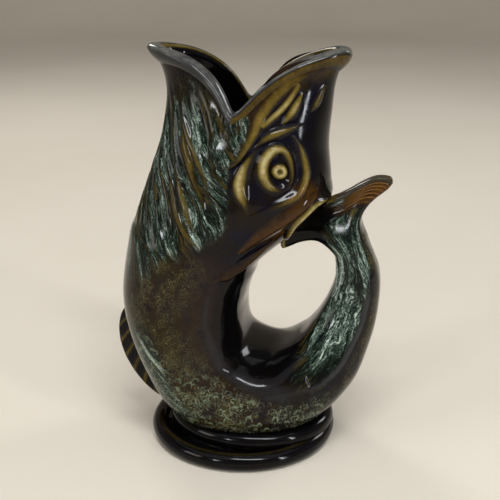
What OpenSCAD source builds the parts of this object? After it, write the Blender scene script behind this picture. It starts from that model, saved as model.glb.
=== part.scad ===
// Fish-shaped gurgle jug. The fish stands on a round foot with its mouth open
// to the sky, and its hollow tail curls up behind the head as the handle.
// Origin: centre of the underside of the foot. +Z up, +X towards the handle.

/* [Overall] */
// Height of the jug at the tips of the jaws
jug_h = 193; // [180:1:215]
// Thickness of the ceramic wall
wall = 4.5; // [3:0.1:6]

/* [Handle loop] */
// Long axis of the finger loop
loop_l = 70.3; // [64:0.1:78]
// Short axis of the finger loop
loop_s = 36.5; // [32:0.1:42]
// Lean of the loop's long axis from the horizontal, in degrees
loop_lean = 63.7; // [55:0.1:72]
// Centre of the loop behind the foot's axis
loop_x = 23.7; // [20:0.1:28]

/* [Body] */
// Height of the belly's underside above the table
belly_z = 6; // [4:0.5:9]
// Thickness of the tail at its tip, seen from the side
tail_t = 14.5; // [12:0.5:18]
// Thickness of the tail where it leaves the belly
tail_root_t = 37; // [32:0.5:42]
// Thickness of the belly under the loop
belly_t = 43.4; // [40:0.1:46]
// Thickness of the keel below the chest
keel_t = 52.8; // [49:0.1:57]
// Thickness of the torso beside the loop
torso_t = 61.2; // [56:0.1:66]
// Width of the tail at its tip, across the jug
tail_w = 24; // [20:0.5:30]
// Width of the tail where it leaves the belly
tail_root_w = 44; // [38:0.5:50]
// Width of the belly across the jug
belly_w = 72; // [64:0.5:80]
// Width of the torso across the jug
torso_w = 75; // [66:0.5:84]

/* [Head] */
// Depth of the cheek section, just above the eye, below the tips of the jaws
cheek_depth = 43; // [38:0.5:49]
// Reach of the forehead behind the foot's axis, at the cheek
cheek_back = 40.2; // [36:0.2:44]
// Reach of the throat in front of the foot's axis, at the cheek
cheek_front = 38.2; // [34:0.2:42]
// Width of the head across the cheeks
cheek_w = 59; // [52:0.5:66]
// Depth of the mouth's corners below the tips of the jaws
corner_depth = 26; // [21:0.5:31]
// Width of the mouth at its corners
mouth_w = 49; // [44:0.5:54]
// Reach of the upper jaw's tip behind the foot's axis
upper_tip = 47; // [43:0.5:52]
// Reach of the lower jaw's tip in front of the foot's axis
lower_tip = 41; // [37:0.5:46]
// Width of the jaws near their tips
tip_w = 36; // [30:0.5:42]
// Height of the rolled lip
lip_h = 3.4; // [2:0.2:5]
// Bulge of the rolled lip beyond the skin
lip_bulge = 0.9; // [0.4:0.1:1.6]

/* [Eyes and relief] */
// Angle of the eye round the head, from the forehead, in degrees
eye_a = 60.5; // [54:0.5:66]
// Depth of the eye below the tips of the jaws
eye_depth = 51; // [49:0.5:55]
// Length of the eye ring's oval
eye_l = 19.6; // [16:0.2:21]
// Breadth of the eye ring's oval
eye_w = 15.4; // [13:0.2:17]
// Width of the eye ring's band
eye_band = 4.8; // [3:0.2:5.4]
// Diameter of the pupil
pupil_d = 7.4; // [5:0.2:8]
// Height of the modelled ridges above the skin
relief_h = 1.8; // [1:0.1:2.6]
// Width of the modelled ridges
relief_w = 4.6; // [3:0.1:5]
// Number of rays on each side of the throat
ray_count = 4; // [2:1:5]

/* [Fins] */
// Rise of the tail fin's free tip above the tail's tip
fin_rise = 28.1; // [22:0.1:34]
// Reach of the tail fin's free tip behind the tail's tip
fin_reach = 10.8; // [6:0.1:15]
// Thickness of the tail fin at its lobes
fin_t = 8.5; // [6:0.5:12]
// Number of rays in the tail fin
fin_rays = 10; // [6:1:14]
// Height of the belly fin above the keel
keel_fin_h = 14; // [10:0.5:17]
// Thickness of the belly fin
keel_fin_t = 6; // [4:0.5:9]
// Number of rays in the belly fin
keel_fin_rays = 6; // [4:1:9]

/* [Foot] */
// Diameter of the foot
foot_d = 93; // [88:0.5:104]
// Height and breadth of the foot's rolled edge
foot_edge_h = 8.4; // [7:0.2:9.6]
// Diameter of the recess under the foot
foot_recess_d = 68; // [60:0.5:70]
// Depth of the groove inside the rolled edge
groove_h = 3; // [2:0.2:4]
// Overhang of the collar's brow over the groove
collar_brow = 1.7; // [1:0.1:2]
// Height of the top of the collar
collar_z = 14; // [12:0.5:16]
// Offset of the collar, with the belly, behind the foot's axis
collar_x = 4.5; // [3:0.5:6]
// Share of the collar's length that its breadth is
collar_oval = 0.88; // [0.86:0.01:0.96]

/* [Hidden] */

// Steps round half of a section, to the mouth corner and from there to the throat
fore_steps = 9;
throat_steps = 9;
corner_a = 94;

// Steps along each length of the fish
tail_rows = 12;
belly_rows = 12;
torso_rows = 8;
head_rows = 18;

// Superellipse powers of the tail's tip, the neck and the head: 2 is an ellipse
tail_power = 2.9;
body_power = 2.4;
head_power = 2.1;

// The key sections fan round the loop, from the tail's tip past the belly to the neck
tail_tip_a = 37;
section_a = 23.5;
belly_i = 6;
neck_i = 10;

function mix(a, b, f) = a + (b - a) * f;
function key_a(i) = tail_tip_a - section_a * i;
function loop_r(a) =
    let (p = loop_l / 2, q = loop_s / 2, d = a - loop_lean)
    p * q / sqrt(pow(q * cos(d), 2) + pow(p * sin(d), 2));

// The loop hangs over the belly's underside by the belly's thickness
loop_z = belly_z - (loop_r(key_a(belly_i)) + belly_t) * sin(key_a(belly_i));
function around_loop(a, r) = [loop_x + r * cos(a), loop_z + r * sin(a)];

// Thickness and width of the key sections round the loop
LOOP_T = [tail_t, mix(tail_t, tail_root_t, 0.3), mix(tail_t, tail_root_t, 0.44),
    mix(tail_t, tail_root_t, 0.64), tail_root_t, belly_t, belly_t, keel_t,
    mix(keel_t, torso_t, 0.5), torso_t, torso_t + 1.7];
LOOP_W = [tail_w - 2, tail_w, tail_w + 1.5, mix(tail_w, tail_root_w, 0.4), tail_root_w,
    mix(tail_root_w, belly_w, 0.6), belly_w, mix(belly_w, torso_w, 0.8), torso_w + 1,
    torso_w, torso_w - 1];
function loop_key(i) =
    let (a = key_a(i), r = loop_r(a))
    concat(around_loop(a, r), around_loop(a, r + LOOP_T[i]),
        [LOOP_W[i] / 2, mix(tail_power, body_power, i / neck_i)]);

// Key sections of the head: back x and z, front x and z, half width, power.
// The nape's sections climb from the neck to the cheek, bulging out at the back.
cheek_z = jug_h - cheek_depth;
corner_z = jug_h - corner_depth;
eye_z = jug_h - eye_depth;
NECK = loop_key(neck_i);
function nape(f, back_x, back_z) =
    [mix(NECK[0], cheek_back, back_x), mix(NECK[1], cheek_z, back_z),
     mix(NECK[2], -cheek_front, f), mix(NECK[3], cheek_z, f),
     mix(torso_w, cheek_w, f) / 2, mix(body_power, head_power, f)];
function level(z, back, front, width) = [back, z, -front, z, width / 2, head_power];

// Outline of the nape's back, as shares of the way from the neck to the cheek
NAPE_X = [0.106, 0.597, 1.03, 1.041];
NAPE_Z = [0.125, 0.36, 0.587, 0.758];

// The skin runs on a little past the rim of the mouth
over_rim = 2;
top_z = jug_h + over_rim;
level_step = (top_z - cheek_z) / 3;
mouth_back = cheek_back + 1;
mouth_front = cheek_front - 2.9;
HEAD_KEYS = [
    for (i = [0:3]) nape(0.2 * (i + 1), NAPE_X[i], NAPE_Z[i]),
    level(cheek_z, cheek_back, cheek_front, cheek_w),
    level(cheek_z + level_step, mouth_back, mouth_front, mouth_w),
    level(cheek_z + 2 * level_step, mix(mouth_back, upper_tip, 0.33),
        mix(mouth_front, lower_tip, 0.15), mix(mouth_w, tip_w, 0.6)),
    level(top_z, upper_tip + over_rim + 1, lower_tip + over_rim + 0.5, tip_w)];
KEYS = concat([for (i = [0:neck_i]) loop_key(i)], HEAD_KEYS);
cheek_i = neck_i + 5;

// Smooth curve through four neighbours, from the second to the third
function spline(p, q, r, s, f) =
    0.5 * (2 * q + (r - p) * f + (2 * p - 5 * q + 4 * r - s) * pow(f, 2)
        + (3 * q - p - 3 * r + s) * pow(f, 3));
function key(list, i) =
    let (n = len(list) - 1)
    i < 0 ? 2 * list[0] - list[1] : i > n ? 2 * list[n] - list[n - 1] : list[i];
function along(list, t) =
    let (i = max(0, min(floor(t), len(list) - 2)))
    spline(key(list, i - 1), key(list, i), key(list, i + 1), key(list, i + 2), t - i);

// Point of the skin at angle a round section t, or at a depth below the skin.
// a is 0 at the back, 180 at the front, and positive towards -Y.
function rounded(v, power) = sign(v) * pow(abs(v), 2 / power);
function skin(a, t, depth = 0) =
    let (
        s = along(KEYS, t),
        back = [s[0], s[1]],
        front = [s[2], s[3]],
        half = norm(back - front) / 2,
        reach = (half - depth) * rounded(cos(a), s[5]),
        p = (back + front) / 2 + (back - front) / (2 * half) * reach
    )
    [p[0], -(s[4] - depth) * rounded(sin(a), s[5]), p[1]];

// Section number for a height on the head
function head_t(z) = cheek_i + (z - cheek_z) / level_step;

// Angles round a whole section, with a point at each mouth corner
HALF_A = concat(
    [for (i = [0:fore_steps - 1]) corner_a * i / fore_steps],
    [for (i = [0:throat_steps]) mix(corner_a, 180, i / throat_steps)]);
half_n = len(HALF_A);
ANGLES = concat(HALF_A, [for (i = [half_n - 2:-1:1]) -HALF_A[i]]);

// The rim of the mouth climbs from its corners to the jaws' tips
upper_curve = 1.85;
lower_curve = 2.4;
function rim_z(a) =
    let (
        c = cos(a),
        k = cos(corner_a),
        f = c > k ? pow((1 - c) / (1 - k), upper_curve) : pow((1 + c) / (1 + k), lower_curve)
    )
    mix(jug_h, corner_z, f);
function rim_t(a) = head_t(rim_z(a) - lip_h);

// Sections that part the tail, the belly, the torso and the head
tail_end = 4;
belly_end = 8;
torso_end = neck_i + 1;
function rings(t0, t1, n, depth = 0) =
    [for (i = [0:n]) [for (a = ANGLES) skin(a, mix(t0, t1, i / n), depth)]];
function head_rings(depth = 0) =
    [for (i = [0:head_rows])
        [for (a = ANGLES) skin(a, mix(torso_end, rim_t(a), i / head_rows), depth)]];

// Faces between rings of n points each
function band(i, j, n) =
    [for (k = [0:n - 1], half = [0, 1])
        let (a = i * n + k, b = i * n + (k + 1) % n, c = j * n + (k + 1) % n, d = j * n + k)
        half == 0 ? [a, b, c] : [a, c, d]];
function bands(first, last, n) = [for (i = [first:last - 1]) each band(i, i + 1, n)];
function cap(i, n, flip) = [for (k = [0:n - 1]) i * n + (flip ? k : n - 1 - k)];
function reversed(list) = [for (i = [len(list) - 1:-1:0]) list[i]];
function rest(list) = [for (i = [1:len(list) - 1]) list[i]];
function points(list) = [for (r = list) each r];

// Solid swept through closed rings, capped at both ends
module sweep(list) {
    n = len(list[0]);
    end = len(list) - 1;
    polyhedron(points(list), concat(bands(0, end, n), [cap(0, n, false), cap(end, n, true)]));
}

// Solid swept through closed rings that return to the first
module loop_sweep(list) {
    n = len(list[0]);
    end = len(list) - 1;
    polyhedron(points(list), concat(bands(0, end, n), band(end, 0, n)));
}

// Hollow length of the fish, open at both ends
module shell(outer, inner) {
    loop_sweep(concat(outer, reversed(inner)));
}

// Hollow length of the fish, closed where it starts
module blind_shell(outer, inner) {
    sweep(concat(outer, reversed(inner)));
}

// The whole fish, filled up to its mouth, for fitting what is laid on it
FISH = concat(rings(0, tail_end, tail_rows), rest(rings(tail_end, belly_end, belly_rows)),
    rest(rings(belly_end, torso_end, torso_rows)), rest(head_rings()));
module fish() {
    n = len(ANGLES);
    end = len(FISH) - 1;
    throat = [0, 0, corner_z];
    mouth = [for (k = [0:n - 1]) [end * n + k, end * n + (k + 1) % n, (end + 1) * n]];
    polyhedron(concat(points(FISH), [throat]), concat(bands(0, end, n), [cap(0, n, false)], mouth));
}

// Seats a piece on the fish's skin
module seated() {
    resize([0, 0, 0]) difference() {
        children(0);
        fish();
        if ($children > 1) children(1);
    }
}

// A ridge along skin points [a, z]: its section is an oval that lies on the skin
ridge_sides = 6;
ridge_steps = 12;
ridge_end = 0.12;
function tangent(path, i) =
    let (n = len(path) - 1)
    path[min(i + 1, n)] - path[max(i - 1, 0)];
function unit(v) = v / norm(v);
function skin_normal(a, t) =
    unit(cross(skin(a, t + 0.02) - skin(a, t - 0.02), skin(a + 0.5, t) - skin(a - 0.5, t)));
function on_head(q) = skin(q[0], head_t(q[1]));
function head_normal(q) = skin_normal(q[0], head_t(q[1]));
function oval(p, side, up, w, h) =
    [for (k = [0:ridge_sides - 1])
        let (a = 360 * k / ridge_sides)
        p + side * w * cos(a) + up * h * sin(a)];
function ridge_rings(path, w, h) =
    let (
        q = [for (i = [0:ridge_steps]) along(path, (len(path) - 1) * i / ridge_steps)],
        p = [for (v = q) on_head(v)]
    )
    [for (i = [0:ridge_steps])
        let (
            up = head_normal(q[i]),
            side = unit(cross(tangent(p, i), up)),
            f = mix(ridge_end, 1, sqrt(sin(180 * i / ridge_steps)))
        )
        oval(p[i], side, up, w * f / 2, h * f)];
module ridge(path, w = relief_w) {
    sweep(ridge_rings(path, w, relief_h));
}
function lifted(path, z) = [for (p = path) [p[0], p[1] + z]];

// Skin point at a distance from the eye: dx towards the forehead, dz up
eye_arc = norm(skin(eye_a + 1, head_t(eye_z)) - skin(eye_a, head_t(eye_z)));
function by_eye(dx, dz) = [eye_a - dx / eye_arc, eye_z + dz];
// Part of a spiral round the eye, from angle a0 and radius r0 to a1 and r1
spiral_steps = 4;
function eye_spiral(a0, a1, r0, r1) =
    [for (i = [0:spiral_steps])
        let (f = i / spiral_steps, a = mix(a0, a1, f), r = mix(r0, r1, f))
        by_eye(r * cos(a), r * sin(a))];

module head_shell() {
    color("#3b2f1c") shell(head_rings(), head_rings(wall));
}

module torso_shell() {
    color("#2e2410")
        shell(rings(belly_end, torso_end, torso_rows), rings(belly_end, torso_end, torso_rows, wall));
}

module belly_shell() {
    color("#2e2a16")
        shell(rings(tail_end, belly_end, belly_rows), rings(tail_end, belly_end, belly_rows, wall));
}

// The bore of the tail stops short of its tip, so that air is trapped in it
tail_plug = 0.5;
module tail_handle() {
    color("#3d4a3c")
        blind_shell(rings(0, tail_end, tail_rows), rings(tail_plug, tail_end, tail_rows, wall));
}

// Rounded section of the lip at angle a, from the outer skin over to the inner
lip_steps = 6;
function lip_ring(a) =
    let (
        t = rim_t(a),
        outer = skin(a, t),
        inner = skin(a, t, wall),
        middle = (outer + inner) / 2,
        out = (outer - inner) / 2,
        up = unit(skin(a, t + 0.02) - outer)
    )
    [for (k = [0:lip_steps])
        let (f = 180 * k / lip_steps, bulge = lip_bulge * sin(f) * (1 + cos(f)))
        middle + out * cos(f) + unit(out) * bulge + up * lip_h * sin(f)];
module lip(angles) {
    color("#55553c") sweep([for (a = angles) lip_ring(a)]);
}

module lower_lip() {
    half = [for (i = [half_n - 1:-1:fore_steps]) HALF_A[i]];
    lip(concat([for (i = [fore_steps:half_n - 2]) 360 - HALF_A[i]], half));
}

module upper_lip() {
    half = [for (i = [fore_steps:-1:0]) HALF_A[i]];
    lip(concat(half, [for (i = [1:fore_steps]) -HALF_A[i]]));
}

// Rolled edge of the foot, with a flat land inside it that carries the collar
foot_roll = foot_edge_h / 2;
foot_roll_r = foot_d / 2 - foot_roll;
foot_land_z = foot_edge_h - groove_h;
module foot_ring() {
    color("#15151c") rotate_extrude($fn = 96) {
        translate([foot_roll_r, foot_roll]) circle(foot_roll, $fn = 48);
        translate([foot_recess_d / 2, 0]) square([foot_roll_r - foot_recess_d / 2, foot_land_z]);
    }
}

// Collar between the foot and the belly, with a rounded brow over the groove. It is an oval that
// runs into the rolled edge behind, and leaves the groove wider in front.
groove_gap = 0.3;
groove_r = foot_d / 2 - foot_edge_h - groove_gap;
collar_over = 2;
collar_r = groove_r + collar_over;
collar_roll = (collar_z - foot_land_z) / 2;
collar_roll_r = collar_r + collar_brow - collar_roll;
collar_breadth = 14;
collar_core_r = collar_r - collar_breadth;
module collar_body() {
    translate([collar_x, 0, 0]) scale([1, collar_oval, 1]) rotate_extrude($fn = 60) {
        translate([collar_roll_r, foot_land_z + collar_roll]) circle(collar_roll, $fn = 16);
        translate([collar_core_r, foot_land_z])
            square([collar_roll_r - collar_core_r, collar_z - foot_land_z]);
        translate([collar_core_r, foot_land_z]) square([collar_r - collar_core_r, collar_roll]);
    }
}
module foot_collar() {
    color("#1a1a20") seated() {
        collar_body();
        rotate_extrude($fn = 96)
            translate([foot_roll_r, foot_roll]) circle(foot_roll + groove_gap, $fn = 48);
    }
}

// Fan of the tail: each section runs from the root to the rim and back on the other face.
// Its low lobe lies under the head, its waist holds the tail's tip, and its high lobe is free.
TAIL_BACK = [KEYS[0][0], KEYS[0][1]];
TAIL_FRONT = [KEYS[0][2], KEYS[0][3]];
function nape_at(t) = [skin(0, t)[0], skin(0, t)[2]];
FIN_LOW = nape_at(11.5) + [0.2, -1.4];
FIN_NOTCH = nape_at(13) + [1.9, 1];
FIN_TIP = TAIL_FRONT + [fin_reach, fin_rise];
FIN_RIM = [FIN_LOW, mix(FIN_LOW, FIN_NOTCH, 0.5) + [-1.5, 2], FIN_NOTCH,
    mix(FIN_NOTCH, FIN_TIP, 0.5) + [-0.5, 1.5], FIN_TIP];
FIN_ROOT = [FIN_LOW + [4.5, -1], mix(FIN_LOW, TAIL_BACK, 0.5) + [2.4, 5],
    mix(TAIL_BACK, TAIL_FRONT, 0.5) + [4, -8], mix(TAIL_FRONT, FIN_TIP, 0.3) + [-3.5, 1.5],
    FIN_TIP + [1, -3.5]];
fin_sides = 12;
fin_steps = 4 * fin_rays;
fin_ripple = 0.09;
fin_power = 3;
fin_waist = 10;
function fin_ring(u) =
    let (
        root = along(FIN_ROOT, 4 * u),
        rim = along(FIN_RIM, 4 * u),
        waist = pow(sin(180 * u), fin_waist),
        ripple = 1 - fin_ripple + fin_ripple * cos(360 * fin_rays * u)
    )
    [for (k = [0:fin_sides - 1])
        let (
            a = 360 * k / fin_sides,
            f = (1 - cos(a)) / 2,
            p = mix(root, rim, f),
            y = mix(fin_t, mix(tail_w, fin_t, f), waist) / 2 * ripple
        )
        [p[0], -y * rounded(sin(a), fin_power), p[1]]];
module tail_fin() {
    color("#4d5a35") seated() sweep([for (i = [0:fin_steps]) fin_ring(i / fin_steps)]);
}

// Ribbed fin along the keel, from the foot up to the chest
keel_fin_t0 = 7.05;
keel_fin_t1 = 8.75;
keel_fin_sides = 8;
keel_fin_steps = 4 * keel_fin_rays;
keel_fin_sink = 3;
keel_fin_skew = 1.1;
keel_fin_ripple = 0.15;
keel_fin_edge = 0.4;
function keel_fin_ring(u) =
    let (
        t = mix(keel_fin_t0, keel_fin_t1, u),
        h = keel_fin_h * sqrt(sin(180 * pow(u, keel_fin_skew))) + keel_fin_edge,
        y = keel_fin_t / 2 * (1 - keel_fin_ripple + keel_fin_ripple * cos(360 * keel_fin_rays * u))
    )
    [for (k = [0:keel_fin_sides - 1])
        let (a = 360 * k / keel_fin_sides, p = skin(180, t, mix(keel_fin_sink, -h, (1 - cos(a)) / 2)))
        [p[0], -y * rounded(sin(a), fin_power), p[2]]];
module belly_fin() {
    color("#5a4a20") seated() {
        sweep([for (i = [0:keel_fin_steps]) keel_fin_ring(i / keel_fin_steps)]);
        collar_body();
    }
}

// Relief of one side of the head; the other side is its mirror image
module on_side(side) {
    mirror([0, side == "right" ? 1 : 0, 0]) children();
}

eye_steps = 20;
function eye_oval(a) = by_eye(eye_w / 2 * cos(a), eye_l / 2 * sin(a));
module eye_ring(side) {
    color("#8a7634") seated() on_side(side) loop_sweep([for (i = [0:eye_steps - 1])
        let (
            a = -360 * i / eye_steps,
            p = on_head(eye_oval(a)),
            up = head_normal(eye_oval(a)),
            out = unit(cross(on_head(eye_oval(a - 3)) - p, up))
        )
        oval(p, out, up, eye_band / 2, relief_h)]);
}

// The pupil is a raised button with a dimple
pupil_steps = 16;
pupil_sink = 3;
PUPIL_R = [1, 1, 0.75, 0.4, 0.2];
PUPIL_H = [0, 0.3, 1.25, 1.2, 0.9];
module pupil(side) {
    q = [eye_a, eye_z];
    up = head_normal(q);
    east = unit(cross([0, 0, 1], up));
    north = cross(up, east);
    color("#9a8440") seated() on_side(side) sweep([for (i = [4:-1:0])
        let (h = i == 0 ? -pupil_sink : PUPIL_H[i] * relief_h)
        [for (k = [0:pupil_steps - 1])
            let (a = 360 * k / pupil_steps)
            on_head(q) + PUPIL_R[i] * pupil_d / 2 * (east * cos(a) + north * sin(a)) + h * up]]);
}

module brow(side) {
    color("#7d6a2c") seated() on_side(side) ridge(eye_spiral(140, 60, 15, 22));
}

// A crescent behind the eye, a thin arc before it and a broad fold below it
CHEEK_FOLD = [[22, -11], [13, -17], [3, -26], [-3, -36]];
module cheek_ridges(side) {
    color("#7d6a2c") seated() on_side(side) {
        ridge(eye_spiral(151, 231, 14.5, 22));
        ridge(eye_spiral(52, -88, 14.5, 15.5), relief_w * 0.75);
        ridge([for (p = CHEEK_FOLD) by_eye(p[0], p[1])], relief_w * 1.3);
    }
}

// The fold starts below the mouth's corner and follows the upper rim
FOLD_START = [[98, -24], [91, -20], [84, -14], [80, -5]];
fold_from_a = 75;
fold_to_a = 15;
fold_step_a = 12;
function fold_drop(a) = lip_h + mix(3.2, 5, (fold_from_a - a) / (fold_from_a - fold_to_a));
module lip_fold(side) {
    rim = [for (a = [fold_from_a:-fold_step_a:fold_to_a]) [a, rim_z(a) - fold_drop(a)]];
    color("#7d6a2c") seated() on_side(side) ridge(concat(lifted(FOLD_START, corner_z), rim));
}

// Thin ridges between the brow and the upper lip, as angles and heights above flute_z
flute_z = corner_z + 3.5;
FLUTES = [
    [[74, -7], [66, -4], [60, 1], [56, 7]],
    [[60, -5.5], [54, -1], [49.5, 4]],
    [[39, -2], [33, 2], [28, 6]]];
module snout_flutes(side) {
    color("#7d6a2c") seated() on_side(side) for (path = FLUTES)
        ridge(lifted(path, flute_z), relief_w * 0.6);
}

// The rays fan down the throat: ends of the first and the last, as angles and heights from the cheek
FIRST_RAY = [[123, 18], [84, -29]];
LAST_RAY = [[132, -18], [87, -53]];
ray_bow = 3;
ray_steps = 3;
function ray_point(f, s) =
    mix(mix(FIRST_RAY[0], LAST_RAY[0], f), mix(FIRST_RAY[1], LAST_RAY[1], f), s)
        + [ray_bow * sin(180 * s), cheek_z];
module throat_rays(side) {
    color("#5f6b4c") seated() on_side(side) for (i = [0:ray_count - 1])
        ridge([for (s = [0:ray_steps]) ray_point(i / (ray_count - 1), s / ray_steps)]);
}

// Hind edge of the gill cover, as angles and heights from the cheek
GILL = [[61, -70], [52, -64], [45, -58], [43, -51], [40, -44]];
module gill_edge(side) {
    color("#4a3418") seated() on_side(side) ridge(lifted(GILL, cheek_z));
}

head_shell();
torso_shell();
belly_shell();
tail_handle();
lower_lip();
upper_lip();
foot_ring();
foot_collar();
tail_fin();
belly_fin();
eye_ring("left");  // left_eye_ring
eye_ring("right");  // right_eye_ring
pupil("left");  // left_pupil
pupil("right");  // right_pupil
brow("left");  // left_brow
brow("right");  // right_brow
cheek_ridges("left");  // left_cheek_ridges
cheek_ridges("right");  // right_cheek_ridges
lip_fold("left");  // left_lip_fold
lip_fold("right");  // right_lip_fold
snout_flutes("left");  // left_snout_flutes
snout_flutes("right");  // right_snout_flutes
throat_rays("left");  // left_throat_rays
throat_rays("right");  // right_throat_rays
gill_edge("left");  // left_gill_edge
gill_edge("right");  // right_gill_edge
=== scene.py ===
"""Looks of the fish-shaped gurgle jug: glazed skins, relief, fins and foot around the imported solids."""
import math

import bmesh
import bpy
import numpy as np
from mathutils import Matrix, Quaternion, Vector


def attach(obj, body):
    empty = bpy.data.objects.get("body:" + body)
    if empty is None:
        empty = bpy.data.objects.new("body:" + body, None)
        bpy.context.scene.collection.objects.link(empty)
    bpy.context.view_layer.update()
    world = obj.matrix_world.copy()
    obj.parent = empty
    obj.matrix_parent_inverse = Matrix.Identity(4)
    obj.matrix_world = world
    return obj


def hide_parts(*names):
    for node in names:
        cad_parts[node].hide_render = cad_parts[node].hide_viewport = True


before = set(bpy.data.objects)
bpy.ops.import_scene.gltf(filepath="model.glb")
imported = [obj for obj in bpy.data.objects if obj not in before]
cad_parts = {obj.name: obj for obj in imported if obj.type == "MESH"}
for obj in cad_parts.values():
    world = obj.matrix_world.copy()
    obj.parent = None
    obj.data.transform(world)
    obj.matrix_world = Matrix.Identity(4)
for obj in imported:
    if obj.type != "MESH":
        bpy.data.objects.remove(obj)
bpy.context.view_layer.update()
MM = 0.001

# Sizes of the part, in millimetres and degrees, as in its source
JUG_H, WALL, LIP_H = 193, 4.5, 3.4
LOOP_L, LOOP_S, LOOP_LEAN, LOOP_X = 70.3, 36.5, 63.7, 23.7
BELLY_Z, BELLY_T, KEEL_T, TORSO_T = 6, 43.4, 52.8, 61.2
TAIL_T, TAIL_ROOT_T, TAIL_W, TAIL_ROOT_W = 14.5, 37, 24, 44
BELLY_W, TORSO_W = 72, 75
CHEEK_Z, CHEEK_BACK, CHEEK_FRONT, CHEEK_W = 150, 40.2, 38.2, 59
CORNER_Z, MOUTH_W, UPPER_TIP, LOWER_TIP, TIP_W = 167, 49, 47, 41, 36
TAIL_TIP_A, SECTION_A, BELLY_I, NECK_I = 37, 23.5, 6, 10
TAIL_POWER, BODY_POWER, HEAD_POWER = 2.9, 2.4, 2.1
TAIL_SHARES, NECK_GAIN = (0, 0.3, 0.44, 0.64, 1), 1.7
TIP_LESS, MID_MORE, CHEST_MORE, NECK_LESS = 2, 1.5, 1, 1
WIDE_TAIL, WIDE_ROOT, WIDE_KEEL = 0.4, 0.6, 0.8
NAPE_X = (0.106, 0.597, 1.03, 1.041)
NAPE_Z = (0.125, 0.36, 0.587, 0.758)
MOUTH_BACK, MOUTH_FRONT = 1, 2.9
SNOUT_SHARE, CHIN_SHARE, MUZZLE_SHARE = 0.33, 0.15, 0.6
OVER_RIM, BACK_RUN, FRONT_RUN, LEVEL_STEP, CHEEK_I = 2, 1, 0.5, 15, 15
CORNER_A, UPPER_CURVE, LOWER_CURVE = 94, 1.85, 2.4
TAIL_END, BELLY_END, TORSO_END = 4, 8, 11
FOOT_D, FOOT_EDGE_H, FOOT_RECESS_D, GROOVE_H = 93, 8.4, 68, 3
COLLAR_Z, COLLAR_X, COLLAR_OVAL, COLLAR_BROW, COLLAR_R = 14, 4.5, 0.88, 1.7, 39.8
KEEL_FIN_H, KEEL_FIN_T, KEEL_FIN_T0, KEEL_FIN_T1 = 14, 6, 7.05, 8.75
EYE_A, EYE_Z = 60.5, 142

# Small steps over the skin, in section numbers and degrees, that slopes are taken over
NUDGE_T, NUDGE_A, SLOPE_T, HALF_DEGREE = 0.01, 0.4, 0.02, 0.5


def mix(a, b, f):
    return a + (b - a) * f


def step(lo, hi, x):
    """Smooth step from 0 at lo to 1 at hi, and the other way round where lo is above hi."""
    f = np.clip((np.asarray(x, float) - lo) / (hi - lo), 0, 1)
    return f * f * (3 - 2 * f)


def bump(x, place, width):
    return np.exp(-((x - place) / width) ** 2)


def unit(v):
    return v / np.maximum(np.linalg.norm(v, axis=-1, keepdims=True), 1e-12)


def rounded(v, power):
    return np.sign(v) * np.abs(v) ** (2 / power)


def full_turn(count):
    return np.linspace(0, 2 * np.pi, count, endpoint=False)


def loop_r(a):
    """Radius of the oval finger loop at an angle."""
    p, q, d = LOOP_L / 2, LOOP_S / 2, math.radians(a - LOOP_LEAN)
    return p * q / math.hypot(q * math.cos(d), p * math.sin(d))


def fish_keys():
    """Key sections of the fish: back x and z, front x and z, half width, power."""
    thick = [mix(TAIL_T, TAIL_ROOT_T, f) for f in TAIL_SHARES] + [
        BELLY_T, BELLY_T, KEEL_T, mix(KEEL_T, TORSO_T, 0.5), TORSO_T, TORSO_T + NECK_GAIN]
    wide = [TAIL_W - TIP_LESS, TAIL_W, TAIL_W + MID_MORE, mix(TAIL_W, TAIL_ROOT_W, WIDE_TAIL), TAIL_ROOT_W,
            mix(TAIL_ROOT_W, BELLY_W, WIDE_ROOT), BELLY_W, mix(BELLY_W, TORSO_W, WIDE_KEEL),
            TORSO_W + CHEST_MORE, TORSO_W, TORSO_W - NECK_LESS]
    angles = [math.radians(TAIL_TIP_A - SECTION_A * i) for i in range(NECK_I + 1)]
    radii = [loop_r(math.degrees(a)) for a in angles]
    loop_z = BELLY_Z - (radii[BELLY_I] + BELLY_T) * math.sin(angles[BELLY_I])
    keys = []
    for i, (a, r) in enumerate(zip(angles, radii)):
        c, s, far = math.cos(a), math.sin(a), r + thick[i]
        keys.append([LOOP_X + r * c, loop_z + r * s, LOOP_X + far * c, loop_z + far * s,
                     wide[i] / 2, mix(TAIL_POWER, BODY_POWER, i / NECK_I)])
    neck = keys[-1]
    for i, (share_x, share_z) in enumerate(zip(NAPE_X, NAPE_Z)):
        f = (i + 1) / (len(NAPE_X) + 1)
        keys.append([mix(neck[0], CHEEK_BACK, share_x), mix(neck[1], CHEEK_Z, share_z),
                     mix(neck[2], -CHEEK_FRONT, f), mix(neck[3], CHEEK_Z, f),
                     mix(TORSO_W, CHEEK_W, f) / 2, mix(BODY_POWER, HEAD_POWER, f)])
    back, front = CHEEK_BACK + MOUTH_BACK, CHEEK_FRONT - MOUTH_FRONT
    for z, b, f, w in ((CHEEK_Z, CHEEK_BACK, CHEEK_FRONT, CHEEK_W),
                       (CHEEK_Z + LEVEL_STEP, back, front, MOUTH_W),
                       (CHEEK_Z + 2 * LEVEL_STEP, mix(back, UPPER_TIP, SNOUT_SHARE),
                        mix(front, LOWER_TIP, CHIN_SHARE), mix(MOUTH_W, TIP_W, MUZZLE_SHARE)),
                       (JUG_H + OVER_RIM, UPPER_TIP + OVER_RIM + BACK_RUN, LOWER_TIP + OVER_RIM + FRONT_RUN,
                        TIP_W)):
        keys.append([b, z, -f, z, w / 2, HEAD_POWER])
    return np.array(keys, float)


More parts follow.
